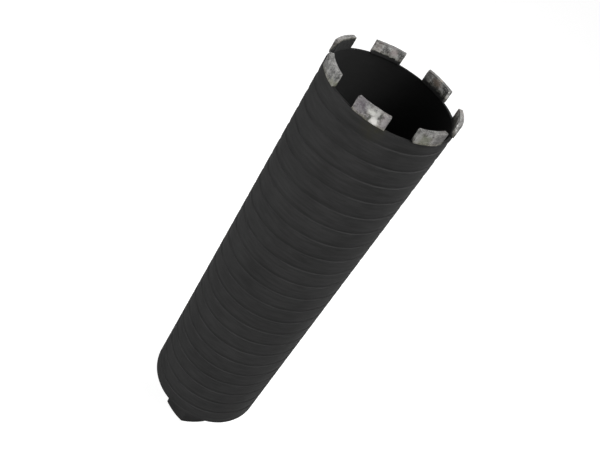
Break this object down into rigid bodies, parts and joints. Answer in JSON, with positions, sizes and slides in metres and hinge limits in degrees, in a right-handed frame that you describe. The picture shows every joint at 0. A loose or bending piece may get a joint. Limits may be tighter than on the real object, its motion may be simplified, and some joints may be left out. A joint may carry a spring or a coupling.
{
  "type": "diamond core bit",
  "caption": "Thin-walled tube with a spiral groove outside, a crown of spaced diamond segments on one end and a tapped hexagon hub on the other.",
  "frame": {"origin": "centre of the hub's end face, where the bit seats on the drill's spindle", "axes": "+Z along the bit's axis towards the cutting crown; -Y is the front, under the middle of segment_1; the bit stands on its hub"},
  "size_m": [0.1014, 0.1007, 0.401],
  "materials": {
    "barrel_paint": "satin charcoal black paint on steel",
    "plate_paint": "satin charcoal black paint on steel",
    "hub_paint": "satin charcoal black paint on steel",
    "segment_metal": "rough sintered metal with diamond grit, dull grey"
  },
  "bodies": {
    "root": {"barrel": "barrel_paint", "end_plate": "plate_paint", "hub": "hub_paint", "segment_1": "segment_metal", "segment_2": "segment_metal", "segment_3": "segment_metal", "segment_4": "segment_metal", "segment_5": "segment_metal", "segment_6": "segment_metal", "segment_7": "segment_metal"}
  },
  "joints": []
}
